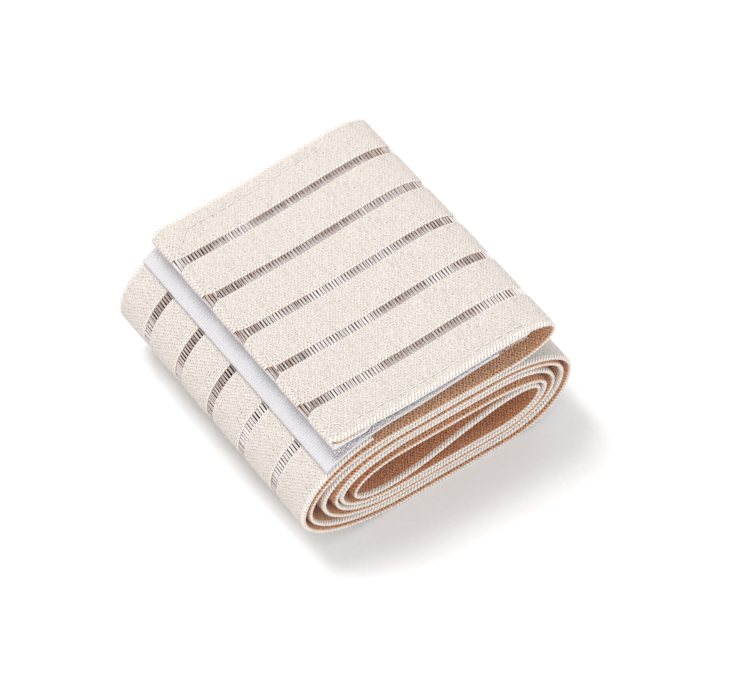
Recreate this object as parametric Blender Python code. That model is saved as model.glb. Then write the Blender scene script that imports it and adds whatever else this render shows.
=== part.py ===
"""A flat roll of openwork elastic bandage with a hook-and-loop closure.

The bandage is one long woven strip: six ribbed elastic bands joined by five open stripes of fine thread.
It is rolled flat from its middle, so its section is a double spiral and both of its ends come out on top.
One end folds back over the roll as a flap and carries the hook tape; the loop tape lies on the other end.

Metres, +Z up. X runs along the flat section, Y along the bandage's width, and Z = 0 is the surface below.
The origin is the middle of the roll's footprint. "Over" is the top side of a turn and "under" its bottom.
"""

import math
from typing import NamedTuple

import bmesh
import bpy

# Driving dimensions
BANDAGE_WIDTH = 0.080
BAND_COUNT = 6
OPEN_STRIPE_WIDTH = 0.0028
BAND_THICKNESS = 0.0012
OPENWORK_THICKNESS = 0.0008
PIECE_GAP = 0.0003

# The wraps: clear space that every wrap keeps, and the loosest extra space, shared out by the tables
WRAP_CLEARANCE = 0.0003
WRAP_SLACK = 0.0024

# The hollow core, from its middle to the innermost turn on each side, and its height under the top wraps
CORE_LEFT_REACH = 0.0252
CORE_RIGHT_REACH = 0.0299
CORE_HEIGHT = 0.0097
CORE_RIGHT_DROP = 0.0020

# The flap and the closure on top of the roll
FLAP_REACH = 0.0310
FLAP_FOLD_REACH = 0.0336
FLAP_FOLD_RISE = 0.0020
FLAP_LEVEL_FROM = 0.0120
HEM_LENGTH = 0.0080
FLAP_END_NARROWING = 0.0020
CLOSURE_RISE = 0.0021
END_WRAP_REACH = 0.0200
TAPE_THICKNESS = 0.0009
TAPE_INSET = 0.0005
HOOK_TAPE_END = 0.0265
LOOP_TAPE_START = 0.0325
LOOP_TAPE_END = 0.0173

# How finely the curves are cut
OUTER_TURN_STEPS = 5
INNER_TURN_STEPS = 4
HEM_STEPS = 2
DIAGONAL_STEPS = 7
FLAP_STEPS = 5
SMOOTH_ANGLE = math.radians(35)

CREAM = (0.85, 0.80, 0.72, 1.0)
CLEAR_THREAD = (0.80, 0.78, 0.76, 1.0)
TAPE_WHITE = (0.86, 0.86, 0.88, 1.0)
FABRIC_ROUGHNESS = 0.85


class TurnRow(NamedTuple):
    """One turn at an end of the roll, outermost first.

    slack: the extra space inside the turn, as a share of WRAP_SLACK
    waist: the height of its far side, as a share of the way from its under level to its over level
    over, under: where its curve starts above and ends below, as shares of its reach
    """
    slack: float
    waist: float
    over: float
    under: float


LEFT_TURNS = [
    TurnRow(slack=0.21, waist=0.46, over=0.30, under=0.20),
    TurnRow(slack=1.00, waist=0.49, over=0.36, under=0.26),
    TurnRow(slack=0.83, waist=0.52, over=0.29, under=0.35),
    TurnRow(slack=0.14, waist=0.49, over=0.26, under=0.39),
    TurnRow(slack=0.94, waist=0.47, over=0.27, under=0.41),
    TurnRow(slack=0.00, waist=0.40, over=0.44, under=0.60),
]

RIGHT_TURNS = [
    TurnRow(slack=0.33, waist=0.56, over=0.36, under=0.51),
    TurnRow(slack=0.54, waist=0.57, over=0.46, under=0.49),
    TurnRow(slack=0.36, waist=0.53, over=0.49, under=0.50),
    TurnRow(slack=0.16, waist=0.60, over=0.45, under=0.54),
    TurnRow(slack=0.00, waist=0.69, over=0.77, under=0.57),
]

# Extra space above each bottom wrap, from the surface up, and below each top wrap, from the core up
BOTTOM_SLACK = [0.42, 0.10, 0.04, 0.12, 0.30]
TOP_SLACK = [0.96, 0.05, 0.31, 0.02]
FOLD_TURN = TurnRow(slack=0.00, waist=0.60, over=0.71, under=0.60)


class Turn(NamedTuple):
    """A turn's ellipse quarters, all in metres."""
    reach: float
    waist: float
    over_x: float
    over_z: float
    under_x: float
    under_z: float


def ease(share):
    """A smooth 0 to 1 that starts and ends level."""
    return share * share * (3.0 - 2.0 * share)


def pile_up(first, slacks):
    """The places of wraps laid one on the next, each with its own extra space below it."""
    places = [first]
    for slack in slacks:
        places.append(places[-1] + BAND_THICKNESS + WRAP_CLEARANCE + slack * WRAP_SLACK)
    return places


def turn_reaches(core_reach, rows):
    """How far out each turn of one side lies, outermost first."""
    slacks = [row.slack for row in rows[:-1]]
    return pile_up(core_reach, reversed(slacks))[::-1]


def make_turns():
    """The left and right turns of the roll, outermost first, and the level of the top wrap."""
    bottom = pile_up(BAND_THICKNESS / 2, BOTTOM_SLACK)
    core_top = bottom[-1] + BAND_THICKNESS + CORE_HEIGHT
    top = pile_up(core_top, TOP_SLACK)[::-1]
    closure_level = top[0] + BAND_THICKNESS + WRAP_CLEARANCE + CLOSURE_RISE
    diagonal_top = core_top - BAND_THICKNESS - CORE_RIGHT_DROP
    left_over = [closure_level] + top
    right_over = top[1:] + [diagonal_top]
    turns = []
    sides = (
        (-1, CORE_LEFT_REACH, LEFT_TURNS, left_over, bottom),
        (1, CORE_RIGHT_REACH, RIGHT_TURNS, right_over, bottom[:-1]),
    )
    for side, core_reach, rows, overs, unders in sides:
        reaches = turn_reaches(core_reach, rows)
        turns.append([
            Turn(side * reach, under_z + row.waist * (over_z - under_z),
                 side * reach * row.over, over_z, side * reach * row.under, under_z)
            for row, reach, over_z, under_z in zip(rows, reaches, overs, unders)
        ])
    return turns[0], turns[1], top[0]


def over_quarter(turn, steps, first=0.0):
    """Points from the top of a turn to its far side, from the share `first` of its sideways reach."""
    start = math.asin(first)
    angles = [start] + [
        step * math.pi / 2 / steps for step in range(steps + 1)
        if step * math.pi / 2 / steps > start + 1e-6
    ]
    return [
        (turn.over_x + (turn.reach - turn.over_x) * math.sin(angle),
         turn.waist + (turn.over_z - turn.waist) * math.cos(angle))
        for angle in angles
    ]


def under_quarter(turn, steps):
    """Points from the far side of a turn to its bottom."""
    points = []
    for step in range(1, steps + 1):
        angle = step * math.pi / 2 / steps
        points.append((turn.under_x + (turn.reach - turn.under_x) * math.cos(angle),
                       turn.waist - (turn.waist - turn.under_z) * math.sin(angle)))
    return points


def turn_points(turn, steps, first=0.0):
    """Points of a whole turn, from its top to its bottom."""
    return over_quarter(turn, steps, first) + under_quarter(turn, steps)


def eased_points(start, end, steps):
    """The points between two level ends."""
    points = []
    for step in range(1, steps):
        share = step / steps
        points.append((start[0] + (end[0] - start[0]) * share,
                       start[1] + (end[1] - start[1]) * ease(share)))
    return points


def height_over(turn, x):
    """The height of a turn's top side at x."""
    share = (x - turn.over_x) / (turn.reach - turn.over_x)
    share = min(max(share, 0.0), 1.0)
    return turn.waist + (turn.over_z - turn.waist) * math.sqrt(1.0 - share * share)


def flap_level(end_wrap):
    """The level of the flap's free end: above the tapes, on whichever spot carries it."""
    stack = 2 * TAPE_THICKNESS + 3 * PIECE_GAP + BAND_THICKNESS
    on_hem = height_over(end_wrap, HEM_LENGTH - FLAP_REACH) + stack + BAND_THICKNESS + WRAP_CLEARANCE
    on_tape = end_wrap.over_z + stack
    return max(on_hem, on_tape) + 2 * PIECE_GAP


def make_fold(top_level, level):
    """The loop at the right where the bandage turns back over itself as the flap."""
    over_z = level + FLAP_FOLD_RISE
    waist = top_level + FOLD_TURN.waist * (over_z - top_level)
    return Turn(FLAP_FOLD_REACH, waist, FLAP_FOLD_REACH * FOLD_TURN.over, over_z,
                FLAP_FOLD_REACH * FOLD_TURN.under, top_level)


def make_hem(level):
    """The tight turn at the flap's free end, where the cloth is folded under itself."""
    drop = BAND_THICKNESS + WRAP_CLEARANCE
    start = drop / 2 - FLAP_REACH
    return Turn(-FLAP_REACH, level - drop / 2, start, level, start, level - drop)


def flap_points(fold, level):
    """The flap's level run, from the hem to the fold."""
    settled = (-FLAP_LEVEL_FROM, level)
    return [settled] + eased_points(settled, (fold.over_x, fold.over_z), FLAP_STEPS)


def bandage_path():
    """The whole bandage from the hem inside the flap, through the core, to the end under the loop tape."""
    left, right, top_level = make_turns()
    level = flap_level(left[0])
    fold = make_fold(top_level, level)
    hem = make_hem(level)
    path = [(HEM_LENGTH - FLAP_REACH, hem.under_z)]
    path += turn_points(hem, HEM_STEPS)[::-1]
    path += flap_points(fold, level)
    path += turn_points(fold, OUTER_TURN_STEPS)
    inward = [(left[1], False), (right[1], True), (left[3], False), (right[3], True), (left[5], False)]
    for turn, upward in inward:
        points = turn_points(turn, INNER_TURN_STEPS)
        path += points[::-1] if upward else points
    core_end = turn_points(right[4], INNER_TURN_STEPS)
    path += eased_points(path[-1], core_end[0], DIAGONAL_STEPS)
    path += core_end
    outward = [(left[4], True), (right[2], False), (left[2], True), (right[0], False)]
    for turn, upward in outward:
        points = turn_points(turn, OUTER_TURN_STEPS if turn is right[0] else INNER_TURN_STEPS)
        path += points[::-1] if upward else points
    end_wrap = left[0]
    cut = (-END_WRAP_REACH - end_wrap.over_x) / (end_wrap.reach - end_wrap.over_x)
    path += turn_points(end_wrap, OUTER_TURN_STEPS, cut)[::-1]
    return path


def normals_along(path):
    """The unit normal at each point, to the left of the way that the path runs."""
    normals = []
    for index in range(len(path)):
        before = path[max(index - 1, 0)]
        after = path[min(index + 1, len(path) - 1)]
        run = (after[0] - before[0], after[1] - before[1])
        length = math.hypot(*run)
        normals.append((-run[1] / length, run[0] / length))
    return normals


def shifted(path, distance):
    """A path moved sideways by a distance."""
    return [
        (x + normal_x * distance, z + normal_z * distance)
        for (x, z), (normal_x, normal_z) in zip(path, normals_along(path))
    ]


def hook_tape_path():
    """Under the flap from its free end towards the fold, stepping down where it passes the hem."""
    left, _, top_level = make_turns()
    level = flap_level(left[0])
    fold = make_fold(top_level, level)
    seat = (BAND_THICKNESS + TAPE_THICKNESS) / 2 + PIECE_GAP
    hem_drop = BAND_THICKNESS + WRAP_CLEARANCE
    hem_inner = HEM_LENGTH - FLAP_REACH + hem_drop
    flap = [(hem_inner + hem_drop, level)] + flap_points(fold, level)
    flap += [point for point in over_quarter(fold, OUTER_TURN_STEPS) if point[0] < HOOK_TAPE_END]
    flap.append((HOOK_TAPE_END, height_over(fold, HOOK_TAPE_END)))
    below_hem = level - hem_drop
    path = [(TAPE_INSET - FLAP_REACH, below_hem), (hem_inner, below_hem)] + flap
    return shifted(path, -seat)


def loop_tape_path():
    """Over the bandage's outer end, then on beneath the hook tape."""
    left, _, top_level = make_turns()
    end_wrap = left[0]
    level = flap_level(end_wrap)
    fold = make_fold(top_level, level)
    start = (-LOOP_TAPE_START - end_wrap.over_x) / (end_wrap.reach - end_wrap.over_x)
    quarter = over_quarter(end_wrap, OUTER_TURN_STEPS)
    seated = [(-LOOP_TAPE_START, height_over(end_wrap, -LOOP_TAPE_START))]
    seated += [point for point in quarter[::-1] if point[0] > -LOOP_TAPE_START]
    path = shifted(seated, (BAND_THICKNESS + TAPE_THICKNESS) / 2 + PIECE_GAP)
    share = (fold.over_x - LOOP_TAPE_END) / (fold.over_x + FLAP_LEVEL_FROM)
    flap_z = fold.over_z - FLAP_FOLD_RISE * ease(share)
    end_z = flap_z - BAND_THICKNESS / 2 - 1.5 * TAPE_THICKNESS - 3 * PIECE_GAP
    end = (LOOP_TAPE_END, end_z)
    return path + eased_points(path[-1], end, FLAP_STEPS) + [end]


def narrowing_at(x, on_flap):
    """How much narrower the cloth is at a place on the flap, where its hemmed end draws it in."""
    if not on_flap:
        return 0.0
    share = (FLAP_FOLD_REACH - x) / (FLAP_FOLD_REACH + FLAP_REACH)
    return FLAP_END_NARROWING * min(max(share, 0.0), 1.0)


def add_strip(name, path, thickness, y_low, y_high, flap_count, material):
    """A flat strip swept along a path; its first `flap_count` points lie on the flap."""
    left = shifted(path, thickness / 2)
    right = shifted(path, -thickness / 2)
    half_width = BANDAGE_WIDTH / 2
    vertices = []
    for index, (x, _) in enumerate(path):
        drawn_in = 1.0 - narrowing_at(x, index < flap_count) / BANDAGE_WIDTH
        near = half_width - (half_width - y_low) * drawn_in
        far = half_width - (half_width - y_high) * drawn_in
        for side in (left[index], right[index]):
            vertices.append((side[0], near, side[1]))
            vertices.append((side[0], far, side[1]))
    faces = [(0, 1, 3, 2)]
    for station in range(len(path) - 1):
        here = station * 4
        there = here + 4
        for first, second in ((0, 1), (1, 3), (3, 2), (2, 0)):
            faces.append((here + first, there + first, there + second, here + second))
    last = (len(path) - 1) * 4
    faces.append((last + 2, last + 3, last + 1, last))
    mesh = bpy.data.meshes.new(name)
    mesh.from_pydata(vertices, [], faces)
    shape = bmesh.new()
    shape.from_mesh(mesh)
    bmesh.ops.recalc_face_normals(shape, faces=shape.faces)
    shape.to_mesh(mesh)
    shape.free()
    mesh.shade_smooth()
    mesh.set_sharp_from_angle(angle=SMOOTH_ANGLE)
    strip = bpy.data.objects.new(name, mesh)
    bpy.context.scene.collection.objects.link(strip)
    strip.data.materials.append(material)
    return strip


def make_material(name, colour):
    """A plain fabric finish."""
    material = bpy.data.materials.new(name)
    material.use_nodes = True
    shader = material.node_tree.nodes["Principled BSDF"]
    shader.inputs["Base Color"].default_value = colour
    shader.inputs["Roughness"].default_value = FABRIC_ROUGHNESS
    shader.inputs["Metallic"].default_value = 0.0
    return material


def centred(path, centre_x):
    """A path moved so that the roll stands in the middle of its footprint."""
    return [(x - centre_x, z) for x, z in path]


def build():
    """Add every strip of the roll to the scene."""
    for item in list(bpy.data.objects):
        bpy.data.objects.remove(item)
    left, right, _ = make_turns()
    centre_x = (left[0].reach + right[0].reach) / 2
    path = bandage_path()
    fold_index = max(range(len(path) // 2), key=lambda index: path[index][0])
    path = centred(path, centre_x)
    hook_path = centred(hook_tape_path(), centre_x)
    loop_path = centred(loop_tape_path(), centre_x)

    band_width = (BANDAGE_WIDTH - (BAND_COUNT - 1) * OPEN_STRIPE_WIDTH) / BAND_COUNT
    pitch = band_width + OPEN_STRIPE_WIDTH
    for number in range(BAND_COUNT):
        near = -BANDAGE_WIDTH / 2 + number * pitch
        add_strip(f"elastic_band_{number + 1}", path, BAND_THICKNESS, near, near + band_width,
                  fold_index, make_material(f"cream_knit_{number + 1}", CREAM))
    for number in range(BAND_COUNT - 1):
        near = -BANDAGE_WIDTH / 2 + number * pitch + band_width + PIECE_GAP
        far = near + OPEN_STRIPE_WIDTH - 2 * PIECE_GAP
        add_strip(f"openwork_{number + 1}", path, OPENWORK_THICKNESS, near, far,
                  fold_index, make_material(f"clear_thread_{number + 1}", CLEAR_THREAD))
    tape_edge = BANDAGE_WIDTH / 2 - TAPE_INSET
    add_strip("hook_tape", hook_path, TAPE_THICKNESS, -tape_edge, tape_edge, len(hook_path),
              make_material("hook_tape_white", TAPE_WHITE))
    add_strip("loop_tape", loop_path, TAPE_THICKNESS, -tape_edge, tape_edge, 0,
              make_material("loop_tape_white", TAPE_WHITE))


build()
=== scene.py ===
"""The finished look of a flat roll of openwork elastic bandage with a hook-and-loop closure.

Every woven band, open stripe and tape is swept along the same section path as its solid.
Metres, +Z up. X runs along the flat section, Y along the bandage's width, and Z = 0 is the surface below.
The origin is the middle of the roll's footprint. "Over" is the top side of a turn and "under" its bottom.
"""

import math
import random
from typing import NamedTuple

import bpy
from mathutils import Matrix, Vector, noise


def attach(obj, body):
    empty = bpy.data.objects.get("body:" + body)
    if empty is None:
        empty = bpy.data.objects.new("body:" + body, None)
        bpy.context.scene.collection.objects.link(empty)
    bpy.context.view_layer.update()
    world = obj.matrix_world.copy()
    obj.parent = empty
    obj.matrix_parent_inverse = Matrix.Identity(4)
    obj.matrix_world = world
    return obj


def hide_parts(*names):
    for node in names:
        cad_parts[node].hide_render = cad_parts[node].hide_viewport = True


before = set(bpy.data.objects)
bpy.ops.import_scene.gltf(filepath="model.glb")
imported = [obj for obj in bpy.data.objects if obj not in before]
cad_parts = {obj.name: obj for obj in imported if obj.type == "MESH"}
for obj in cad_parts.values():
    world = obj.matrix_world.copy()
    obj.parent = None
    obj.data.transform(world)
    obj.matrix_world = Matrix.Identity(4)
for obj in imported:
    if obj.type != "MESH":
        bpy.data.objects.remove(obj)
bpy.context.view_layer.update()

# Driving dimensions, as in the solids
BANDAGE_WIDTH = 0.080
BAND_COUNT = 6
OPEN_STRIPE_WIDTH = 0.0028
BAND_THICKNESS = 0.0012
PIECE_GAP = 0.0003
WRAP_CLEARANCE = 0.0003
WRAP_SLACK = 0.0024
CORE_LEFT_REACH = 0.0252
CORE_RIGHT_REACH = 0.0299
CORE_HEIGHT = 0.0097
CORE_RIGHT_DROP = 0.0020
FLAP_REACH = 0.0310
FLAP_FOLD_REACH = 0.0336
FLAP_FOLD_RISE = 0.0020
FLAP_LEVEL_FROM = 0.0120
HEM_LENGTH = 0.0080
FLAP_END_NARROWING = 0.0020
CLOSURE_RISE = 0.0021
END_WRAP_REACH = 0.0200
TAPE_THICKNESS = 0.0009
TAPE_INSET = 0.0005
HOOK_TAPE_END = 0.0265
LOOP_TAPE_START = 0.0325
LOOP_TAPE_END = 0.0173

# How finely the curves are cut before they are spaced out evenly
TURN_STEPS = 24
HEM_STEPS = 6
DIAGONAL_STEPS = 40
FLAP_STEPS = 24

# The knit: two stations to each tooth of a selvage
TOOTH_PITCH = 0.00092
TOOTH_DEPTH = 0.00024
STATION_SPACING = TOOTH_PITCH / 2
BEADING = 0.15
CORNER_ROUNDING = 0.0011
CORNER_LENGTH = 0.0016

# How far the bands sway and wander, how often, and how far apart their noise lies
RIPPLE = 0.00007
SWAY_OFTEN = 90.0
SWAY_APART = 7.3
WANDER_OFTEN = 60.0
WANDER_APART = 3.1

# How open the knit is pulled where it lies flat, what the turns add, and how far the hem's share reaches
STRETCH_FLAT = 0.65
STRETCH_TURNED = 0.35
STRETCH_HEM_LENGTH = 0.004

# How far past a turn the inside of the roll begins, and over what lengths its painted shade and the core's
# deeper painted shade fade in
HIDDEN_PAST_TURN = 0.030
HIDDEN_EASING = 0.010
CORE_EASING = 0.006

# The threads across the open stripes, a pair to each tooth
THREAD_PITCH = TOOTH_PITCH
THREAD_PAIR_GAP = 0.00032
THREAD_RADIUS = 0.00014
THREAD_SLANT = 0.00012
THREAD_SINK = 0.0006
THREAD_STRAY = 0.00006
THREAD_LIFT = 0.00016
THREAD_RISE = 0.00015
THREAD_SWELL = (0.8, 1.15)
THREAD_SIDES = 3
THREAD_SEED = 100
# The rings of points along a thread: how far across each lies, and its share of the thread's rise
THREAD_RINGS = [(0.0, 0.0), (0.33, 0.8), (0.67, 0.8), (1.0, 0.0)]

# The patches of a stripe where its threads are thicker and clearer
PATCH_OFTEN = 70.0
PATCH_APART = 5.7
PATCH_CONTRAST = 4.0
PATCH_SWELL = 0.5

# The stitches that hold the hem and the hook tape
STITCH_LENGTH = 0.0026
STITCH_GAP = 0.0005
STITCH_RADIUS = 0.00017
STITCH_RISE = 0.00012
STITCH_SPREAD = (0.85, 1.1)
STITCH_SEED = 7
# How a stitch arches: shares of its length, and how far off its own height it lies there
STITCH_ARCH = [(0.0, -0.00010), (0.2, 0.00004), (0.5, 0.00008), (0.8, 0.00004), (1.0, -0.00010)]
# The stitched line on the flap: how far along it lies from the hem's tip, and across the width
STITCH_CORNERS = [
    (0.0490, 0.0362), (0.0085, 0.0350), (0.0034, 0.0305), (0.0026, 0.0060), (0.0020, -0.0150),
    (0.0018, -0.0300), (0.0030, -0.0342), (0.0058, -0.0362), (0.0120, -0.0364), (0.0580, -0.0376),
]
# How thin the ends of a stitch and of a loop of pile are, as a share of their radius
TUBE_END = 0.35

# The pile along both edges of the closure's tapes
PILE_RADIUS = 0.00009
PILE_OVERHANG = 0.0004
PILE_SPACING = 0.0005
PILE_ROWS = 5
PILE_ROW_PITCH = 0.0006
PILE_STRAY = 0.0004
PILE_HALF_WIDTH = (0.0002, 0.00035)
PILE_HEIGHT_SPREAD = (0.6, 1.0)
# How deep the pile is rooted, as a share of the tape's thickness, and how square its loops are
PILE_ROOT = 0.40
PILE_SHOULDER = 0.8

# How many rows a band's flat map is cut into, and how much of each row it fills
MAP_ROWS = 6
MAP_FILL = 0.98

MM = 1000.0


class TurnRow(NamedTuple):
    """One turn at an end of the roll, outermost first.

    slack: the extra space inside the turn, as a share of WRAP_SLACK
    waist: the height of its far side, as a share of the way from its under level to its over level
    over, under: where its curve starts above and ends below, as shares of its reach
    """
    slack: float
    waist: float
    over: float
    under: float


LEFT_TURNS = [
    TurnRow(slack=0.21, waist=0.46, over=0.30, under=0.20),
    TurnRow(slack=1.00, waist=0.49, over=0.36, under=0.26),
    TurnRow(slack=0.83, waist=0.52, over=0.29, under=0.35),
    TurnRow(slack=0.14, waist=0.49, over=0.26, under=0.39),
    TurnRow(slack=0.94, waist=0.47, over=0.27, under=0.41),
    TurnRow(slack=0.00, waist=0.40, over=0.44, under=0.60),
]

RIGHT_TURNS = [
    TurnRow(slack=0.33, waist=0.56, over=0.36, under=0.51),
    TurnRow(slack=0.54, waist=0.57, over=0.46, under=0.49),
    TurnRow(slack=0.36, waist=0.53, over=0.49, under=0.50),
    TurnRow(slack=0.16, waist=0.60, over=0.45, under=0.54),
    TurnRow(slack=0.00, waist=0.69, over=0.77, under=0.57),
]

# Extra space above each bottom wrap, from the surface up, and below each top wrap, from the core up
BOTTOM_SLACK = [0.42, 0.10, 0.04, 0.12, 0.30]
TOP_SLACK = [0.96, 0.05, 0.31, 0.02]
FOLD_TURN = TurnRow(slack=0.00, waist=0.60, over=0.71, under=0.60)


class Turn(NamedTuple):
    """A turn's ellipse quarters, all in metres."""
    reach: float
    waist: float
    over_x: float
    over_z: float
    under_x: float
    under_z: float


class Station(NamedTuple):
    """A place along a strip: its middle, the way that its side 1 looks, and the length run so far."""
    x: float
    z: float
    normal_x: float
    normal_z: float
    along: float


class ProfilePoint(NamedTuple):
    """A point of a strip's cross-section.

    across: share of the half width
    height: share of the half thickness
    side: 1 on a band's cream face or a tape's top, -1 on the other face, and between them on the edges
    tooth: how far the teeth of the edge move it
    """
    across: float
    height: float
    side: float
    tooth: float


def whole_profile(quarter):
    """The closed profile made of one quarter, from the middle of side 1 to an edge, and its mirrors."""
    mirrored = [point._replace(across=-point.across) for point in quarter[:0:-1]]
    upper = mirrored + quarter
    lower = [point._replace(height=-point.height, side=-point.side) for point in reversed(upper)]
    return lower[-1:] + upper + lower[:-1]


BAND_PROFILE = whole_profile([
    ProfilePoint(across=0.00, height=1.05, side=1.0, tooth=0.0),
    ProfilePoint(across=0.50, height=1.02, side=1.0, tooth=0.0),
    ProfilePoint(across=0.84, height=0.95, side=1.0, tooth=0.0),
    ProfilePoint(across=0.96, height=0.78, side=1.0, tooth=0.5),
    ProfilePoint(across=1.00, height=0.36, side=0.5, tooth=1.0),
])

TAPE_PROFILE = whole_profile([
    ProfilePoint(across=0.000, height=0.80, side=1.0, tooth=0.0),
    ProfilePoint(across=0.970, height=0.80, side=1.0, tooth=0.0),
    ProfilePoint(across=0.992, height=0.95, side=1.0, tooth=0.5),
    ProfilePoint(across=1.000, height=0.40, side=0.5, tooth=1.0),
])


def ease(share):
    """A smooth 0 to 1 that starts and ends level."""
    return share * share * (3.0 - 2.0 * share)


def clamped(value, low=0.0, high=1.0):
    """The value, kept within its limits."""
    return min(max(value, low), high)


def pile_up(first, slacks):
    """The places of wraps laid one on the next, each with its own extra space below it."""
    places = [first]
    for slack in slacks:
        places.append(places[-1] + BAND_THICKNESS + WRAP_CLEARANCE + slack * WRAP_SLACK)
    return places


def turn_reaches(core_reach, rows):
    """How far out each turn of one side lies, outermost first."""
    slacks = [row.slack for row in rows[:-1]]
    return pile_up(core_reach, reversed(slacks))[::-1]


def make_turns():
    """The left and right turns of the roll, outermost first, and the level of the top wrap."""
    bottom = pile_up(BAND_THICKNESS / 2, BOTTOM_SLACK)
    core_top = bottom[-1] + BAND_THICKNESS + CORE_HEIGHT
    top = pile_up(core_top, TOP_SLACK)[::-1]
    closure_level = top[0] + BAND_THICKNESS + WRAP_CLEARANCE + CLOSURE_RISE
    diagonal_top = core_top - BAND_THICKNESS - CORE_RIGHT_DROP
    left_over = [closure_level] + top
    right_over = top[1:] + [diagonal_top]
    turns = []
    sides = (
        (-1, CORE_LEFT_REACH, LEFT_TURNS, left_over, bottom),
        (1, CORE_RIGHT_REACH, RIGHT_TURNS, right_over, bottom[:-1]),
    )
    for side, core_reach, rows, overs, unders in sides:
        reaches = turn_reaches(core_reach, rows)
        turns.append([
            Turn(side * reach, under_z + row.waist * (over_z - under_z),
                 side * reach * row.over, over_z, side * reach * row.under, under_z)
            for row, reach, over_z, under_z in zip(rows, reaches, overs, unders)
        ])
    return turns[0], turns[1], top[0]


def over_quarter(turn, steps, first=0.0):
    """Points from the top of a turn to its far side, from the share `first` of its sideways reach."""
    start = math.asin(first)
    angles = [start] + [
        step * math.pi / 2 / steps for step in range(steps + 1)
        if step * math.pi / 2 / steps > start + 1e-6
    ]
    return [
        (turn.over_x + (turn.reach - turn.over_x) * math.sin(angle),
         turn.waist + (turn.over_z - turn.waist) * math.cos(angle))
        for angle in angles
    ]


def under_quarter(turn, steps):
    """Points from the far side of a turn to its bottom."""
    points = []
    for step in range(1, steps + 1):
        angle = step * math.pi / 2 / steps
        points.append((turn.under_x + (turn.reach - turn.under_x) * math.cos(angle),
                       turn.waist - (turn.waist - turn.under_z) * math.sin(angle)))
    return points


def turn_points(turn, steps, first=0.0):
    """Points of a whole turn, from its top to its bottom."""
    return over_quarter(turn, steps, first) + under_quarter(turn, steps)


def run_of_turns(turns):
    """Points through whole turns in a row, each passed downwards or upwards."""
    points = []
    for turn, upward in turns:
        passed = turn_points(turn, TURN_STEPS)
        points += passed[::-1] if upward else passed
    return points


def eased_points(start, end, steps):
    """The points between two level ends."""
    points = []
    for step in range(1, steps):
        share = step / steps
        points.append((start[0] + (end[0] - start[0]) * share,
                       start[1] + (end[1] - start[1]) * ease(share)))
    return points


def height_over(turn, x):
    """The height of a turn's top side at x."""
    share = clamped((x - turn.over_x) / (turn.reach - turn.over_x))
    return turn.waist + (turn.over_z - turn.waist) * math.sqrt(1.0 - share * share)


def flap_level(end_wrap):
    """The level of the flap's free end: above the tapes, on whichever spot carries it."""
    stack = 2 * TAPE_THICKNESS + 3 * PIECE_GAP + BAND_THICKNESS
    on_hem = height_over(end_wrap, HEM_LENGTH - FLAP_REACH) + stack + BAND_THICKNESS + WRAP_CLEARANCE
    on_tape = end_wrap.over_z + stack
    return max(on_hem, on_tape) + 2 * PIECE_GAP


def make_fold(top_level, level):
    """The loop at the right where the bandage turns back over itself as the flap."""
    over_z = level + FLAP_FOLD_RISE
    waist = top_level + FOLD_TURN.waist * (over_z - top_level)
    return Turn(FLAP_FOLD_REACH, waist, FLAP_FOLD_REACH * FOLD_TURN.over, over_z,
                FLAP_FOLD_REACH * FOLD_TURN.under, top_level)


def make_hem(level):
    """The tight turn at the flap's free end, where the cloth is folded under itself."""
    drop = BAND_THICKNESS + WRAP_CLEARANCE
    start = drop / 2 - FLAP_REACH
    return Turn(-FLAP_REACH, level - drop / 2, start, level, start, level - drop)


def flap_points(fold, level):
    """The flap's level run, from the hem to the fold."""
    settled = (-FLAP_LEVEL_FROM, level)
    return [settled] + eased_points(settled, (fold.over_x, fold.over_z), FLAP_STEPS)


class Marks(NamedTuple):
    """The lengths along the bandage at which its parts lie."""
    hem_tip: float
    fold: float
    core_from: float
    core_to: float
    right_end: float


def bandage_path():
    """The whole bandage from the hem inside the flap to the end under the loop tape, and its marks."""
    left, right, top_level = make_turns()
    level = flap_level(left[0])
    fold = make_fold(top_level, level)
    hem = make_hem(level)
    path = [(HEM_LENGTH - FLAP_REACH, hem.under_z)]
    hem_tip = len(path) + HEM_STEPS
    path += turn_points(hem, HEM_STEPS)[::-1]
    path += flap_points(fold, level)
    fold_tip = len(path) + TURN_STEPS
    path += turn_points(fold, TURN_STEPS)
    path += run_of_turns([
        (left[1], False), (right[1], True), (left[3], False), (right[3], True), (left[5], False),
    ])
    core_from = len(path) - 2 * TURN_STEPS
    core_end = turn_points(right[4], TURN_STEPS)
    path += eased_points(path[-1], core_end[0], DIAGONAL_STEPS)
    path += core_end
    core_to = len(path)
    path += run_of_turns([(left[4], True), (right[2], False), (left[2], True), (right[0], False)])
    right_tip = len(path) - TURN_STEPS - 1
    end_wrap = left[0]
    cut = (-END_WRAP_REACH - end_wrap.over_x) / (end_wrap.reach - end_wrap.over_x)
    path += turn_points(end_wrap, TURN_STEPS, cut)[::-1]
    tips = (hem_tip, fold_tip, core_from, core_to, right_tip)
    return path, Marks(*(length_to(path, tip) for tip in tips))


def length_to(path, index):
    """The length of a path up to one of its points."""
    return sum(math.dist(here, there) for here, there in zip(path[:index], path[1:index + 1]))


def normals_along(path):
    """The unit normal at each point, to the left of the way that the path runs."""
    normals = []
    for index in range(len(path)):
        before = path[max(index - 1, 0)]
        after = path[min(index + 1, len(path) - 1)]
        run = (after[0] - before[0], after[1] - before[1])
        length = math.hypot(*run)
        normals.append((-run[1] / length, run[0] / length))
    return normals


def shifted(path, distance):
    """A path moved sideways by a distance."""
    return [
        (x + normal_x * distance, z + normal_z * distance)
        for (x, z), (normal_x, normal_z) in zip(path, normals_along(path))
    ]


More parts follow.
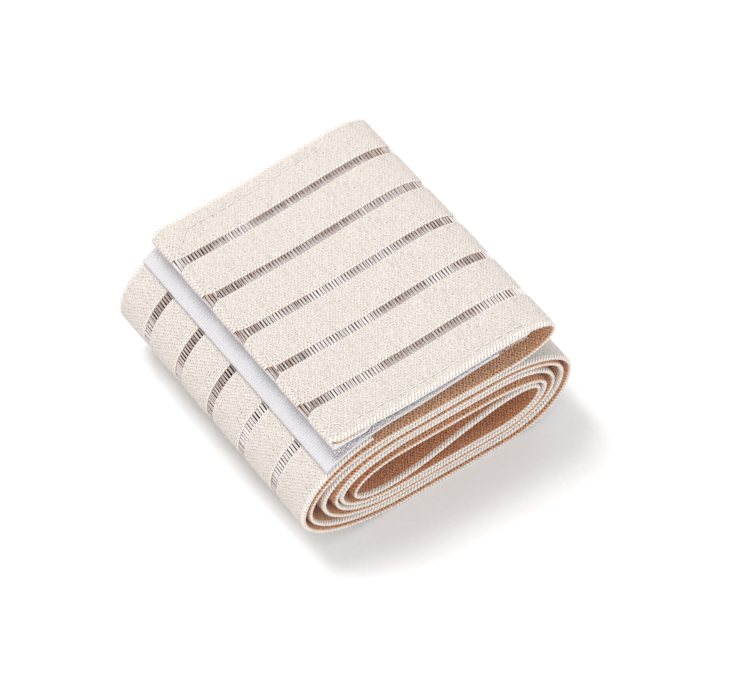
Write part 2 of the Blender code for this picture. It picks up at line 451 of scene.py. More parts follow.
def hook_tape_path():
    """Under the flap from its free end towards the fold, stepping down where it passes the hem."""
    left, _, top_level = make_turns()
    level = flap_level(left[0])
    fold = make_fold(top_level, level)
    seat = (BAND_THICKNESS + TAPE_THICKNESS) / 2 + PIECE_GAP
    hem_drop = BAND_THICKNESS + WRAP_CLEARANCE
    hem_inner = HEM_LENGTH - FLAP_REACH + hem_drop
    flap = [(hem_inner + hem_drop, level)] + flap_points(fold, level)
    flap += [point for point in over_quarter(fold, TURN_STEPS) if point[0] < HOOK_TAPE_END]
    flap.append((HOOK_TAPE_END, height_over(fold, HOOK_TAPE_END)))
    below_hem = level - hem_drop
    path = [(TAPE_INSET - FLAP_REACH, below_hem), (hem_inner, below_hem)] + flap
    return shifted(path, -seat)


def loop_tape_path():
    """Over the bandage's outer end, then on beneath the hook tape."""
    left, _, top_level = make_turns()
    end_wrap = left[0]
    level = flap_level(end_wrap)
    fold = make_fold(top_level, level)
    quarter = over_quarter(end_wrap, TURN_STEPS)
    seated = [(-LOOP_TAPE_START, height_over(end_wrap, -LOOP_TAPE_START))]
    seated += [point for point in quarter[::-1] if point[0] > -LOOP_TAPE_START]
    path = shifted(seated, (BAND_THICKNESS + TAPE_THICKNESS) / 2 + PIECE_GAP)
    share = (fold.over_x - LOOP_TAPE_END) / (fold.over_x + FLAP_LEVEL_FROM)
    flap_z = fold.over_z - FLAP_FOLD_RISE * ease(share)
    end_z = flap_z - BAND_THICKNESS / 2 - 1.5 * TAPE_THICKNESS - 3 * PIECE_GAP
    end = (LOOP_TAPE_END, end_z)
    return path + eased_points(path[-1], end, FLAP_STEPS) + [end]


def make_stations(path, spacing):
    """Even stations along a path, moved so that the roll stands in the middle of its footprint."""
    left, right, _ = make_turns()
    centre_x = (left[0].reach + right[0].reach) / 2
    reached = [0.0]
    for here, there in zip(path, path[1:]):
        reached.append(reached[-1] + math.dist(here, there))
    count = round(reached[-1] / spacing)
    points = []
    piece = 0
    for index in range(count + 1):
        along = reached[-1] * index / count
        while piece < len(path) - 2 and reached[piece + 1] < along:
            piece += 1
        share = (along - reached[piece]) / (reached[piece + 1] - reached[piece])
        here, there = path[piece], path[piece + 1]
        points.append((here[0] + (there[0] - here[0]) * share - centre_x,
                       here[1] + (there[1] - here[1]) * share))
    step = reached[-1] / count
    return [
        Station(x, z, normal_x, normal_z, index * step)
        for index, ((x, z), (normal_x, normal_z)) in enumerate(zip(points, normals_along(points)))
    ]


def station_at(stations, along):
    """The station at a length along a strip, between the even ones."""
    step = stations[1].along
    index = int(clamped(along / step, 0, len(stations) - 2))
    share = along / step - index
    here, there = stations[index], stations[index + 1]
    return Station(*(a + (b - a) * share for a, b in zip(here, there)))


# Meshes

def add_piece(name, vertices, faces, material, nodes, point_values=None, map_rows=None):
    """One piece of the roll, with a value of each name at its points, standing for its solids."""
    mesh = bpy.data.meshes.new(name)
    mesh.from_pydata(vertices, [], faces)
    for value_name, values in (point_values or {}).items():
        attribute = mesh.attributes.new(value_name, "FLOAT", "POINT")
        attribute.data.foreach_set("value", values)
    if map_rows:
        layer = mesh.uv_layers.new(name="OFBake")
        layer.data.foreach_set("uv", map_rows)
    mesh.shade_smooth()
    mesh.update()
    piece = bpy.data.objects.new(name, mesh)
    bpy.context.scene.collection.objects.link(piece)
    piece.data.materials.append(material)
    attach(piece, "root")
    if nodes:
        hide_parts(*nodes)
    return piece


def strip_map(station_count, profile_count, rows):
    """Flat map places of a strip's faces, with the strip cut into rows that fill a square."""
    per_row = math.ceil((station_count - 1) / rows)
    places = []
    for index in range(station_count - 1):
        row, column = divmod(index, per_row)
        left, right = column / per_row, (column + 1) / per_row
        for point in range(profile_count):
            low = (row + point / profile_count * MAP_FILL) / rows
            high = (row + (point + 1) / profile_count * MAP_FILL) / rows
            places += [left, low, right, low, right, high, left, high]
    return places


def strip_faces(station_count, profile_count):
    """The faces of a closed strip, cap faces last."""
    faces = []
    for index in range(station_count - 1):
        here = index * profile_count
        there = here + profile_count
        for point in range(profile_count):
            other = (point + 1) % profile_count
            faces.append((here + point, there + point, there + other, here + other))
    last = (station_count - 1) * profile_count
    faces.append(tuple(range(profile_count)))
    faces.append(tuple(last + point for point in reversed(range(profile_count))))
    return faces


def tube_faces(first, ring_count, sides):
    """The faces of an open tube, made of rings of points from one index on."""
    faces = []
    for ring in range(ring_count - 1):
        here = first + ring * sides
        for side in range(sides):
            other = (side + 1) % sides
            faces.append((here + side, here + other, here + sides + other, here + sides + side))
    return faces


def place(station, across, height):
    """A point across a strip and off its middle."""
    return (station.x + station.normal_x * height, across, station.z + station.normal_z * height)


class Route(NamedTuple):
    """The bandage's stations and the lengths along it where its parts lie."""
    stations: list
    marks: Marks


def make_route():
    """The bandage's stations and marks."""
    path, marks = bandage_path()
    return Route(make_stations(path, STATION_SPACING), marks)


def width_kept(station, route):
    """The share of its width that the cloth keeps on the flap, where its hemmed end draws it in."""
    fold = route.marks.fold
    if station.along > fold:
        return 1.0
    return 1.0 - FLAP_END_NARROWING * (1.0 - clamped(station.along / fold)) / BANDAGE_WIDTH


def hem_rounding(station, route):
    """How far the corners of a band draw in where it turns round the hem."""
    return CORNER_ROUNDING * math.exp(-((station.along - route.marks.hem_tip) / CORNER_LENGTH) ** 2)


def within(along, start, end, easing):
    """1 between two lengths along the bandage, and 0 beyond them."""
    return clamped(min(along - start, end - along) / easing)


def inside_shade_at(station, route):
    """1 where the cream face lies inside the roll, where it is painted tan as the roll's inner shade."""
    start = route.marks.fold + HIDDEN_PAST_TURN
    end = route.marks.right_end - HIDDEN_PAST_TURN
    return within(station.along, start, end, HIDDEN_EASING)


def core_shade_at(station, route):
    """1 round the hollow core, where the light hardly comes and the knit is painted darker as shade."""
    return within(station.along, route.marks.core_from, route.marks.core_to, CORE_EASING)


def stretch_at(station, route):
    """How open the knit is pulled: most round the hem, and more round each turn than on the flat."""
    hem = math.exp(-((station.along - route.marks.hem_tip) / STRETCH_HEM_LENGTH) ** 2)
    turned = abs(station.normal_x)
    return clamped(STRETCH_FLAT + hem + STRETCH_TURNED * turned)


# What a band holds at its points: its place in millimetres, the side, three shares (painted shade inside the
# roll, deeper painted shade round the core, the stretch), and 1 by the roll's rims
KNIT_VALUES = ("along", "across", "side", "tan", "depth", "stretch", "rim")


def add_band(number, near, far, route, material):
    """A knitted band between two selvages, crowned across, with toothed edges."""
    middle, half_width = (near + far) / 2, (far - near) / 2
    vertices = []
    values = {name: [] for name in KNIT_VALUES}
    for index, station in enumerate(route.stations):
        kept = width_kept(station, route)
        rounding = hem_rounding(station, route)
        tan, depth, stretch = inside_shade_at(station, route), core_shade_at(station, route), stretch_at(station, route)
        sway = RIPPLE * noise.noise(Vector((station.along * SWAY_OFTEN, number * SWAY_APART, 0.0)))
        tooth = TOOTH_DEPTH if index % 2 else -TOOTH_DEPTH
        for point in BAND_PROFILE:
            edge = math.copysign(tooth * point.tooth, point.across)
            wander_place = Vector((station.along * WANDER_OFTEN, number * WANDER_APART, point.across))
            wander = RIPPLE * noise.noise(wander_place)
            across = (middle + point.across * (half_width - rounding)) * kept + edge + wander
            beading = 1.0 + BEADING * point.tooth * math.copysign(1.0, tooth)
            height = point.height * beading * BAND_THICKNESS / 2 + sway
            vertices.append(place(station, across, height))
            rim = (number == 1 and point.across < 0) or (number == BAND_COUNT and point.across > 0)
            across_mm = point.across * half_width * MM
            row = (station.along * MM, across_mm, point.side, tan, depth, stretch, float(rim))
            for name, value in zip(KNIT_VALUES, row):
                values[name].append(value)
    count, around = len(route.stations), len(BAND_PROFILE)
    faces = strip_faces(count, around)
    cap_corners = 2 * around
    places = strip_map(count, around, MAP_ROWS) + [0.0, 0.0] * cap_corners
    return add_piece(f"elastic_band_{number}_knit", vertices, faces, material,
                     [f"elastic_band_{number}"], values, places)


def add_threads(number, near, far, route, material):
    """The fine threads that cross an open stripe, drawn together in pairs."""
    picker = random.Random(THREAD_SEED + number)
    length = route.stations[-1].along
    count = int(length / THREAD_PITCH)
    vertices, faces, tints, insides = [], [], [], []
    for index in range(2, 2 * count - 2):
        pair, partner = divmod(index, 2)
        along = pair * THREAD_PITCH + partner * THREAD_PAIR_GAP + picker.uniform(-1, 1) * THREAD_STRAY
        lean = THREAD_SLANT + picker.uniform(-1, 1) * THREAD_STRAY
        rise = picker.uniform(-1.0, 1.0) * THREAD_RISE
        patch_place = Vector((along * PATCH_OFTEN, number * PATCH_APART, 1.0))
        patch = clamped(PATCH_CONTRAST * noise.noise(patch_place))
        radius = THREAD_RADIUS * picker.uniform(*THREAD_SWELL) * (1.0 + PATCH_SWELL * patch)
        tint = picker.random() * (1.0 - patch)
        # How far the thread is painted dark as shade inside the roll
        inside = inside_shade_at(station_at(route.stations, clamped(along, 0, length)), route)
        first = len(vertices)
        for share, bow in THREAD_RINGS:
            station = station_at(route.stations, clamped(along + lean * (share - 0.5) * 2, 0, length))
            across = near - THREAD_SINK + (far - near + 2 * THREAD_SINK) * share
            across *= width_kept(station, route)
            for side in range(THREAD_SIDES):
                angle = 2 * math.pi * side / THREAD_SIDES
                lift = THREAD_LIFT + rise * bow + radius * math.cos(angle)
                x, y, z = place(station, across, lift)
                forward = radius * math.sin(angle)
                vertices.append((x + station.normal_z * forward, y, z - station.normal_x * forward))
                tints.append(tint)
                insides.append(inside)
        faces += tube_faces(first, len(THREAD_RINGS), THREAD_SIDES)
    return add_piece(f"openwork_{number}_threads", vertices, faces, material,
                     [f"openwork_{number}"], {"tint": tints, "inside": insides})


def add_tape(name, path, end_narrowing, material):
    """A closure tape with thick beaded edges, drawn in towards the flap's free end."""
    stations = make_stations(path, STATION_SPACING)
    half_width = BANDAGE_WIDTH / 2 - TAPE_INSET
    vertices, along_mm, across_mm, sides = [], [], [], []
    for index, station in enumerate(stations):
        share = clamped((FLAP_FOLD_REACH - station.x) / (FLAP_FOLD_REACH + FLAP_REACH))
        kept = 1.0 - end_narrowing * share / BANDAGE_WIDTH
        tooth = TOOTH_DEPTH if index % 2 else -TOOTH_DEPTH
        for point in TAPE_PROFILE:
            edge = math.copysign(tooth * point.tooth, point.across)
            across = point.across * half_width * kept + edge
            height = point.height * TAPE_THICKNESS / 2
            vertices.append(place(station, across, height))
            along_mm.append(station.along * MM)
            across_mm.append(across * MM)
            sides.append(point.side)
    count, around = len(stations), len(TAPE_PROFILE)
    values = {"along": along_mm, "across": across_mm, "side": sides}
    return add_piece(f"{name}_web", vertices, strip_faces(count, around), material, [name], values)


def add_tube(vertices, faces, points, ups, radius, sides=5):
    """A round thread through points, with a direction that its top faces at each."""
    first = len(vertices)
    for index, (point, up) in enumerate(zip(points, ups)):
        before, after = points[max(index - 1, 0)], points[min(index + 1, len(points) - 1)]
        ahead = (after - before).normalized()
        across = ahead.cross(up).normalized()
        top = across.cross(ahead)
        at_end = index in (0, len(points) - 1)
        size = radius * (TUBE_END if at_end else 1.0)
        for side in range(sides):
            angle = 2 * math.pi * side / sides
            vertices.append(tuple(point + across * (size * math.cos(angle)) + top * (size * math.sin(angle))))
    faces += tube_faces(first, len(points), sides)
    faces.append(tuple(first + side for side in reversed(range(sides))))
    last = first + (len(points) - 1) * sides
    faces.append(tuple(last + side for side in range(sides)))


def add_stitches(route, material):
    """Long white stitches round three sides of the flap."""
    vertices, faces = [], []
    lengths = [0.0]
    for here, there in zip(STITCH_CORNERS, STITCH_CORNERS[1:]):
        lengths.append(lengths[-1] + math.dist(here, there))

    def on_flap(run, lift):
        """A point above the stitched line at a length along it, and the way up there."""
        piece = 0
        while piece < len(lengths) - 2 and lengths[piece + 1] < run:
            piece += 1
        share = clamped((run - lengths[piece]) / (lengths[piece + 1] - lengths[piece]))
        here, there = STITCH_CORNERS[piece], STITCH_CORNERS[piece + 1]
        station = station_at(route.stations, route.marks.hem_tip + here[0] + (there[0] - here[0]) * share)
        across = here[1] + (there[1] - here[1]) * share
        up = Vector((station.normal_x, 0.0, station.normal_z))
        return Vector(place(station, across, BAND_THICKNESS / 2 + STITCH_RISE + lift)), up

    picker = random.Random(STITCH_SEED)
    run = 0.0
    while run + STITCH_LENGTH < lengths[-1]:
        length = STITCH_LENGTH * picker.uniform(*STITCH_SPREAD)
        points, ups = [], []
        for share, lift in STITCH_ARCH:
            point, up = on_flap(run + length * share, lift)
            points.append(point)
            ups.append(up)
        add_tube(vertices, faces, points, ups, STITCH_RADIUS)
        run += length + STITCH_GAP
    return add_piece("flap_stitching", vertices, faces, material, [])


class Pile(NamedTuple):
    """The loops of one tape.

    face: 1 where they stand on its top, -1 underneath
    first, last: between which x they lie
    """
    face: int
    first: float
    last: float
    height: float
    seed: int


HOOK_PILE = Pile(face=-1, first=-0.0310, last=0.0262, height=0.0005, seed=11)
LOOP_PILE = Pile(face=1, first=-0.0300, last=0.0170, height=0.0008, seed=12)


def add_pile(name, path, pile, material):
    """Small loops along both edges of a tape's inner face."""
    stations = make_stations(path, PILE_SPACING)
    picker = random.Random(pile.seed)
    vertices, faces = [], []
    half_width = BANDAGE_WIDTH / 2 - TAPE_INSET
    for station in stations:
        if not pile.first < station.x < pile.last:
            continue
        up = Vector((station.normal_x * pile.face, 0.0, station.normal_z * pile.face))
        for side in (-1, 1):
            for row in range(PILE_ROWS):
                inset = row * PILE_ROW_PITCH
                across = side * (half_width + PILE_OVERHANG - inset - picker.uniform(0, PILE_STRAY))
                base = Vector(place(station, across, pile.face * TAPE_THICKNESS * PILE_ROOT))
                turn = picker.uniform(0, math.pi)
                run = math.cos(turn)
                ahead = Vector((run * station.normal_z, math.sin(turn), -run * station.normal_x))
                wide = picker.uniform(*PILE_HALF_WIDTH)
                tall = pile.height * picker.uniform(*PILE_HEIGHT_SPREAD)
                shoulder = up * tall * PILE_SHOULDER
                points = [
                    base - ahead * wide,
                    base - ahead * wide * PILE_SHOULDER + shoulder,
                    base + up * tall,
                    base + ahead * wide * PILE_SHOULDER + shoulder,
                    base + ahead * wide,
                ]
                add_tube(vertices, faces, points, [ahead.cross(up)] * len(points), PILE_RADIUS, sides=3)
    return add_piece(name, vertices, faces, material, [])


# Materials

def linear(red, green, blue):
    """A shader colour from the usual 0 to 255 values."""
    parts = []
    for value in (red, green, blue):
        share = value / 255.0
        parts.append(share / 12.92 if share <= 0.04045 else ((share + 0.055) / 1.055) ** 2.4)
    return (*parts, 1.0)


class Nodes:
    """The nodes of one material."""

    def __init__(self, name, roughness, sheen):
        self.material = bpy.data.materials.new(name)
        self.material.use_nodes = True
        self.tree = self.material.node_tree
        self.shader = self.tree.nodes["Principled BSDF"]
        self.shader.inputs["Roughness"].default_value = roughness
        self.shader.inputs["Sheen Weight"].default_value = sheen
        self.shader.inputs["Sheen Roughness"].default_value = 0.5

    def feed(self, socket, value):
        """Set a socket to a number or colour, or link it."""
        if isinstance(value, bpy.types.NodeSocket):
            self.tree.links.new(value, socket)
        else:
            socket.default_value = value

    def math(self, operation, *values):
        """One operation on numbers."""
        node = self.tree.nodes.new("ShaderNodeMath")
        node.operation = operation
        for socket, value in zip(node.inputs, values):
            self.feed(socket, value)
        return node.outputs[0]

    def times(self, first, *others):
        """Numbers multiplied together."""
        product = first
        for other in others:
            product = self.math("MULTIPLY", product, other)
        return product

    def wave(self, value, pitch):
        """A cosine that repeats at a pitch."""
        return self.math("COSINE", self.times(value, 2 * math.pi / pitch))

    def spot(self):
        """The place on the piece, in metres."""
        return self.tree.nodes.new("ShaderNodeTexCoord").outputs["Object"]

    def value(self, name):
        """A value that the mesh holds at its points."""
        node = self.tree.nodes.new("ShaderNodeAttribute")
        node.attribute_name = name
        return node.outputs["Fac"]

    def step(self, value, low, high, to_low=0.0, to_high=1.0):
        """A smooth change as a value goes from low to high."""
        node = self.tree.nodes.new("ShaderNodeMapRange")
        node.interpolation_type = "SMOOTHSTEP"
        for socket, number in zip(node.inputs, (value, low, high, to_low, to_high)):
            self.feed(socket, number)
        return node.outputs[0]

    def mix(self, share, first, second):
        """A blend of two colours."""
        node = self.tree.nodes.new("ShaderNodeMix")
        node.data_type = "RGBA"
        self.feed(node.inputs[0], share)
        self.feed(node.inputs[6], first)
        self.feed(node.inputs[7], second)
        return node.outputs[2]

    def vector(self, x, y, z=0.0):
        """Three numbers as one place."""
        node = self.tree.nodes.new("ShaderNodeCombineXYZ")
        for socket, value in zip(node.inputs, (x, y, z)):
            self.feed(socket, value)
        return node.outputs[0]

    def cloud(self, place_socket, scale, detail=2.0):
        """Soft noise."""
        node = self.tree.nodes.new("ShaderNodeTexNoise")
        node.inputs["Scale"].default_value = scale
        node.inputs["Detail"].default_value = detail
        self.feed(node.inputs["Vector"], place_socket)
        return node.outputs["Fac"]

    def speck(self, place_socket):
        """A number picked for each whole place."""
        node = self.tree.nodes.new("ShaderNodeTexWhiteNoise")
        self.feed(node.inputs["Vector"], place_socket)
        return node.outputs["Value"]

    def finish(self, colour, height, depth):
        """Link the colour and the relief, and give the material."""
        self.feed(self.shader.inputs["Base Color"], colour)
        bump = self.tree.nodes.new("ShaderNodeBump")
        bump.inputs["Strength"].default_value = 1.0
        bump.inputs["Distance"].default_value = depth
        self.feed(bump.inputs["Height"], height)
        self.feed(self.shader.inputs["Normal"], bump.outputs[0])
        return self.material


# The knit's repeat in millimetres, how far its rows wander as shares of it, and how wide a selvage is
CELL_LONG = 0.92
CELL_WIDE = 0.66
CELL_WANDER = 1.1
EDGE_WIDE = 0.55

# Where an opening and a nub of the knit end, from full to nothing, in millimetres from its middle
HOLE_RADII = (0.08, 0.28)
NUB_RADII = (0.10, 0.34)

# The pitch of the tapes' ribs, in millimetres
HOOK_RIB = 0.9
LOOP_RIB = 0.7
CROSS_RIB = 0.45

# Where the painted brown shadow on the hook tape begins to show, as shares of the way from band to band
STRIPE_SHADOW_FROM = 0.89
STRIPE_SHADOW_TO = 0.95

# How deep each relief is, in metres
KNIT_RELIEF = 0.00018
THREAD_RELIEF = 0.00003
TAPE_RELIEF = 0.00012
YARN_RELIEF = 0.00004
FLOOR_RELIEF = 0.00001

# How fine each cloud of noise is: per millimetre on the knit and the tapes, per metre elsewhere
WANDER_GRAIN = 0.9
CREASE_GRAIN = (1.1, 0.18)
MOTTLE_GRAIN = 0.6
FUZZ_GRAIN = 4.5
TAPE_GRAIN = 3.0
THREAD_GRAIN = 2600.0
YARN_GRAIN = 3200.0
FLOOR_GRAIN = 900.0

CREAM = linear(225, 217, 210)
CREAM_LOW = linear(178, 160, 144)
CREAM_SPECK = linear(136, 100, 78)
TAN = linear(250, 196, 152)
TAN_NUB = linear(255, 236, 212)
TAN_LOW = linear(150, 76, 34)
# Painted shade round the hollow core
TAN_CORE_SHADE = linear(190, 104, 50)
SELVAGE = linear(251, 247, 242)
SELVAGE_LOW = linear(206, 184, 164)
# Brown core yarn on the stripe walls, darkened as painted shade
STRIPE_WALL_YARN_AND_SHADE = linear(170, 128, 102)
# Painted shadow on the hook tape under the open stripes
STRIPE_PAINTED_SHADOW = linear(208, 184, 170)
THREAD_CLEAR = linear(240, 234, 232)
THREAD_TINTED = linear(204, 184, 174)
THREAD_TWIST = linear(184, 160, 148)
# Painted shade on the threads inside the roll
THREAD_INSIDE_SHADE = linear(58, 30, 18)
HOOK_WHITE = linear(240, 239, 242)
HOOK_SHADE = linear(216, 214, 219)
LOOP_WHITE = linear(214, 212, 215)
LOOP_SHADE = linear(186, 183, 188)
PILE_WHITE = linear(252, 249, 250)
PILE_SHADE = linear(232, 225, 229)
STITCH_WHITE = linear(232, 228, 228)
STITCH_SHADE = linear(206, 200, 200)
FLOOR_WHITE = linear(246, 246, 246)
FLOOR_SHADE = linear(243, 243, 243)


def knit_cells(nodes, along, across):
    """How near a spot is to its repeat's opening and to its nub, and a number picked for the repeat."""

    def wander(layer):
        """How far the repeat strays, to either side alike."""
        cloud = nodes.cloud(nodes.vector(along, across, layer), WANDER_GRAIN)
        return nodes.math("MULTIPLY_ADD", cloud, CELL_WANDER, -CELL_WANDER / 2)

    row = nodes.math("ADD", nodes.math("DIVIDE", across, CELL_WIDE), wander(layer=9.0))
    row_number = nodes.math("FLOOR", row)
    stagger = nodes.times(nodes.math("FLOORED_MODULO", row_number, 2.0), 0.5)
    shift = nodes.math("ADD", stagger, wander(layer=3.0))
    column = nodes.math("ADD", nodes.math("DIVIDE", along, CELL_LONG), shift)
    column_number = nodes.math("FLOOR", column)

    def nearness(column_shift, full, none):
        """1 close to a spot that each repeat has, and 0 away from it."""
        long_part = nodes.math("SUBTRACT", nodes.math("FRACT", nodes.math("ADD", column, column_shift)), 0.5)
        wide_part = nodes.math("SUBTRACT", nodes.math("FRACT", row), 0.5)
        long_mm = nodes.times(long_part, CELL_LONG)
        wide_mm = nodes.times(wide_part, CELL_WIDE)
        square = nodes.math("ADD", nodes.times(long_mm, long_mm), nodes.times(wide_mm, wide_mm))
        return nodes.step(nodes.math("SQRT", square), full, none, 1.0, 0.0)

    picked = nodes.speck(nodes.vector(column_number, row_number))
    return nearness(0.0, *HOLE_RADII), nearness(0.5, *NUB_RADII), picked


def make_knit(name, half_width_mm):
    """Cream knit with staggered openings, tan with brown openings on its other face, and white selvages."""
    nodes = Nodes(name, roughness=0.9, sheen=0.15)
    along, across, side, tan, depth, stretch, rim = (nodes.value(key) for key in KNIT_VALUES)
    hole, nub, picked = knit_cells(nodes, along, across)
    weft = nodes.step(nodes.wave(along, CELL_LONG / 2), -1.0, 1.0)
    crease_long, crease_wide = CREASE_GRAIN
    crease_place = nodes.vector(nodes.times(along, crease_long), nodes.times(across, crease_wide))
    crease_shade = nodes.cloud(crease_place, 1.0, detail=3.0)
    mottle = nodes.cloud(nodes.vector(along, across), MOTTLE_GRAIN, detail=3.0)
    fuzz = nodes.cloud(nodes.vector(along, across, side), FUZZ_GRAIN)

    openness = nodes.times(stretch, nodes.step(picked, 0.15, 0.95, 0.1, 1.0))
    hole_share = nodes.times(hole, nodes.times(openness, nodes.step(mottle, 0.3, 0.7, 0.5, 1.0)))
    speck_share = nodes.times(hole, nodes.times(nodes.step(picked, 0.93, 1.05), stretch))
    cream = nodes.mix(hole_share, CREAM, CREAM_LOW)
    cream = nodes.mix(speck_share, cream, CREAM_SPECK)
    # Painted shade of fine creases across the band, in soft streaks
    cream = nodes.mix(nodes.step(crease_shade, 0.50, 0.72, 0.0, 0.15), cream, CREAM_LOW)
    cream = nodes.mix(nodes.step(fuzz, 0.42, 0.68, 0.0, 0.22), cream, CREAM_LOW)
    brown = nodes.mix(nodes.times(nub, nodes.step(picked, 0.2, 0.9, 0.25, 0.9)), TAN, TAN_NUB)
    brown = nodes.mix(nodes.times(hole, nodes.step(picked, 0.0, 0.6, 0.5, 1.0)), brown, TAN_LOW)
    brown = nodes.mix(nodes.step(fuzz, 0.40, 0.68, 0.0, 0.65), brown, TAN_LOW)
    # Painted shade: darker and more orange round the hollow core
    brown = nodes.mix(nodes.times(depth, 0.45), brown, TAN_CORE_SHADE)

    # Inside the roll the cream face is painted tan as shade, like the real tan back face
    tan_back_and_inside_shade = nodes.math("MAXIMUM", tan, nodes.step(side, 0.1, -0.4))
    face_colour = nodes.mix(tan_back_and_inside_shade, cream, brown)
    from_middle = nodes.math("ABSOLUTE", across)
    # The selvages at the bandage's rims are twice as wide
    widened = nodes.math("ADD", 1.0, rim)
    to_edge = nodes.math("DIVIDE", nodes.math("SUBTRACT", half_width_mm, from_middle), widened)
    edge = nodes.step(to_edge, EDGE_WIDE / 2, EDGE_WIDE, 1.0, 0.0)
    rim_edge = nodes.step(from_middle, half_width_mm - EDGE_WIDE / 2, half_width_mm - EDGE_WIDE / 4)
    under_rim = nodes.times(rim, rim_edge, nodes.step(side, -0.95, -0.6))
    over_rim = nodes.times(edge, nodes.step(side, 0.5, 0.9))
    white_share = nodes.math("MAXIMUM", under_rim, over_rim)
    # The walls along the open stripes are painted brown: partly their brown core yarn, partly painted shade
    # in the narrow slots
    wall = nodes.times(nodes.math("SUBTRACT", 1.0, rim), nodes.step(side, 0.85, 0.5))
    face_colour = nodes.mix(nodes.times(wall, edge), face_colour, STRIPE_WALL_YARN_AND_SHADE)
    rope = nodes.step(nodes.wave(nodes.math("ADD", along, from_middle), CELL_LONG), -0.2, 0.9)
    white = nodes.mix(nodes.times(rope, 0.7), SELVAGE, SELVAGE_LOW)
    colour = nodes.mix(white_share, face_colour, white)

    relief = nodes.math("SUBTRACT", nodes.times(nub, 0.5), hole)
    relief = nodes.math("ADD", relief, nodes.times(weft, 0.35))
    relief = nodes.math("ADD", relief, nodes.times(fuzz, 0.8))
    relief = nodes.math("SUBTRACT", relief, nodes.times(edge, rope, 0.8))
    return nodes.finish(colour, relief, KNIT_RELIEF)


def make_thread():
    """Fine clear-white thread with a slight shine, painted dark as shade inside the roll."""
    nodes = Nodes("clear_thread", roughness=0.45, sheen=0.1)
    tint = nodes.value("tint")
    twist = nodes.cloud(nodes.spot(), THREAD_GRAIN)
    colour = nodes.mix(tint, THREAD_CLEAR, THREAD_TINTED)
    colour = nodes.mix(nodes.step(twist, 0.4, 0.8, 0.0, 0.35), colour, THREAD_TWIST)
    # Painted shade: the threads inside the roll are painted near black
    colour = nodes.mix(nodes.value("inside"), colour, THREAD_INSIDE_SHADE)
    return nodes.finish(colour, twist, THREAD_RELIEF)


def make_tape(name, rib_mm, light, dark, pitch_mm=None):
    """White closure tape with fine ribs. A pitch adds a painted brown shadow on its top at the far side of
    each open stripe.
    """
    nodes = Nodes(name, roughness=0.75, sheen=0.2)
    along, across = nodes.value("along"), nodes.value("across")
    rib = nodes.step(nodes.wave(across, rib_mm), -1.0, 1.0)
    cross_rib = nodes.step(nodes.wave(along, CROSS_RIB), -1.0, 1.0)
    fuzz = nodes.cloud(nodes.vector(along, across), TAPE_GRAIN, detail=3.0)
    colour = nodes.mix(nodes.times(rib, 0.35), light, dark)
    colour = nodes.mix(nodes.step(fuzz, 0.4, 0.8, 0.0, 0.35), colour, dark)
    if pitch_mm:
        # Painted shadow: under each open stripe the far band's wall shades the tape's top, drawn as patchy
        # brown
        from_near = nodes.math("DIVIDE", nodes.math("ADD", across, BANDAGE_WIDTH / 2 * MM), pitch_mm)
        in_stripe = nodes.step(nodes.math("FRACT", from_near), STRIPE_SHADOW_FROM, STRIPE_SHADOW_TO)
        stripe_shadow = nodes.times(in_stripe, nodes.step(nodes.value("side"), 0.2, 0.6))
        patchy_shadow = nodes.step(fuzz, 0.2, 0.7, 0.95, 0.6)
        colour = nodes.mix(nodes.times(stripe_shadow, patchy_shadow), colour, STRIPE_PAINTED_SHADOW)
    relief = nodes.math("ADD", nodes.times(rib, -0.8), nodes.times(cross_rib, 0.25))
    relief = nodes.math("ADD", relief, nodes.times(fuzz, 0.5))
    return nodes.finish(colour, relief, TAPE_RELIEF)


def make_yarn(name, light, dark, roughness):
    """Plain yarn for stitches and pile, twisted and a little uneven."""
    nodes = Nodes(name, roughness=roughness, sheen=0.2)
    twist = nodes.cloud(nodes.spot(), YARN_GRAIN)
    colour = nodes.mix(nodes.step(twist, 0.35, 0.75), light, dark)
    return nodes.finish(colour, twist, YARN_RELIEF)


def make_floor_material():
    """Plain pale paper."""
    nodes = Nodes("pale_floor", roughness=0.9, sheen=0.0)
    grain = nodes.cloud(nodes.spot(), FLOOR_GRAIN)
    colour = nodes.mix(nodes.step(grain, 0.2, 0.8), FLOOR_WHITE, FLOOR_SHADE)
    return nodes.finish(colour, grain, FLOOR_RELIEF)


# The pieces

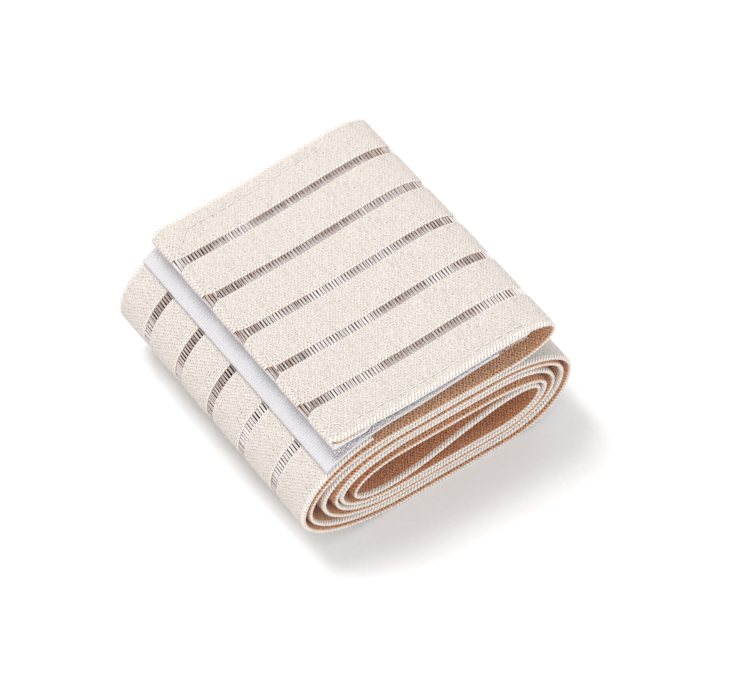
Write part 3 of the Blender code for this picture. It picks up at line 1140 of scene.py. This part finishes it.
def dress():
    """Add every piece of the bandage."""
    route = make_route()
    band_width = (BANDAGE_WIDTH - (BAND_COUNT - 1) * OPEN_STRIPE_WIDTH) / BAND_COUNT
    pitch = band_width + OPEN_STRIPE_WIDTH
    knit = make_knit("cream_knit", band_width / 2 * MM)
    thread = make_thread()
    bands, stripes = [], []
    for number in range(1, BAND_COUNT + 1):
        near = -BANDAGE_WIDTH / 2 + (number - 1) * pitch
        bands.append(add_band(number, near, near + band_width, route, knit))
    for number in range(1, BAND_COUNT):
        near = -BANDAGE_WIDTH / 2 + (number - 1) * pitch + band_width
        stripes.append(add_threads(number, near, near + OPEN_STRIPE_WIDTH, route, thread))
    hook_path, loop_path = hook_tape_path(), loop_tape_path()
    hook_white = make_tape("hook_tape_white", HOOK_RIB, HOOK_WHITE, HOOK_SHADE, pitch_mm=pitch * MM)
    loop_white = make_tape("loop_tape_white", LOOP_RIB, LOOP_WHITE, LOOP_SHADE)
    hook = add_tape("hook_tape", hook_path, FLAP_END_NARROWING, hook_white)
    loop = add_tape("loop_tape", loop_path, 0.0, loop_white)
    pile_yarn = make_yarn("pile_yarn", PILE_WHITE, PILE_SHADE, 0.8)
    hook_pile = add_pile("hook_tape_pile", hook_path, HOOK_PILE, pile_yarn)
    loop_pile = add_pile("loop_tape_pile", loop_path, LOOP_PILE, pile_yarn)
    stitching = add_stitches(route, make_yarn("stitch_thread", STITCH_WHITE, STITCH_SHADE, 0.6))

    hook_length = make_stations(hook_path, STATION_SPACING)[-1].along
    loop_length = make_stations(loop_path, STATION_SPACING)[-1].along


# The stage, the light and the camera

CAMERA_AZIMUTH = math.radians(-35.3)
CAMERA_ELEVATION = math.radians(52.0)
CAMERA_DISTANCE = 1.0
CAMERA_TARGET = Vector((0.00439, -0.00699, 0.020))
PIXELS_PER_METRE = 4063.0
IMAGE_WIDTH = 750
SENSOR_WIDTH = 36.0
NEAREST_SEEN = 0.05
FLOOR_REACH = 6.0
LIGHT_TARGET = Vector((0.0, 0.0, 0.02))
WORLD_STRENGTH = 0.72


def looking_back(azimuth, elevation):
    """The direction from a target to something that looks at it."""
    level = math.cos(elevation)
    return Vector((math.sin(azimuth) * level, -math.cos(azimuth) * level, math.sin(elevation)))


def aim(item, target, azimuth, elevation, distance):
    """Stand something at a distance from its target, turned to look at it."""
    back = looking_back(azimuth, elevation)
    item.location = target + back * distance
    item.rotation_mode = "QUATERNION"
    item.rotation_quaternion = (-back).to_track_quat("-Z", "Y")


def add_stage():
    """A wide pale floor."""
    corners = [
        (-FLOOR_REACH, -FLOOR_REACH, 0.0), (FLOOR_REACH, -FLOOR_REACH, 0.0),
        (FLOOR_REACH, FLOOR_REACH, 0.0), (-FLOOR_REACH, FLOOR_REACH, 0.0),
    ]
    mesh = bpy.data.meshes.new("floor")
    mesh.from_pydata(corners, [], [(0, 1, 2, 3)])
    floor = bpy.data.objects.new("floor", mesh)
    bpy.context.scene.collection.objects.link(floor)
    mesh.materials.append(make_floor_material())


def add_light(name, azimuth, elevation, distance, size, power):
    """A square studio light aimed at the roll."""
    light = bpy.data.lights.new(name, "AREA")
    light.size = size
    light.energy = power
    item = bpy.data.objects.new(name, light)
    bpy.context.scene.collection.objects.link(item)
    aim(item, LIGHT_TARGET, math.radians(azimuth), math.radians(elevation), distance)


def add_world(strength):
    """Even white light from all round."""
    world = bpy.data.worlds.new("studio")
    world.use_nodes = True
    background = world.node_tree.nodes["Background"]
    background.inputs["Color"].default_value = (1.0, 1.0, 1.0, 1.0)
    background.inputs["Strength"].default_value = strength
    bpy.context.scene.world = world


def add_camera():
    """The photograph's view."""
    camera = bpy.data.cameras.new("camera")
    camera.sensor_width = SENSOR_WIDTH
    camera.lens = SENSOR_WIDTH * CAMERA_DISTANCE * PIXELS_PER_METRE / IMAGE_WIDTH
    camera.clip_start = NEAREST_SEEN
    item = bpy.data.objects.new("camera", camera)
    bpy.context.scene.collection.objects.link(item)
    aim(item, CAMERA_TARGET, CAMERA_AZIMUTH, CAMERA_ELEVATION, CAMERA_DISTANCE)
    bpy.context.scene.camera = item


add_camera()
dress()
add_stage()
add_world(WORLD_STRENGTH)
add_light("key", azimuth=206.0, elevation=64.0, distance=1.2, size=0.5, power=9.9)
add_light("fill", azimuth=-6.0, elevation=20.0, distance=1.6, size=0.9, power=9.5)
bpy.context.scene.view_settings.view_transform = "Standard"
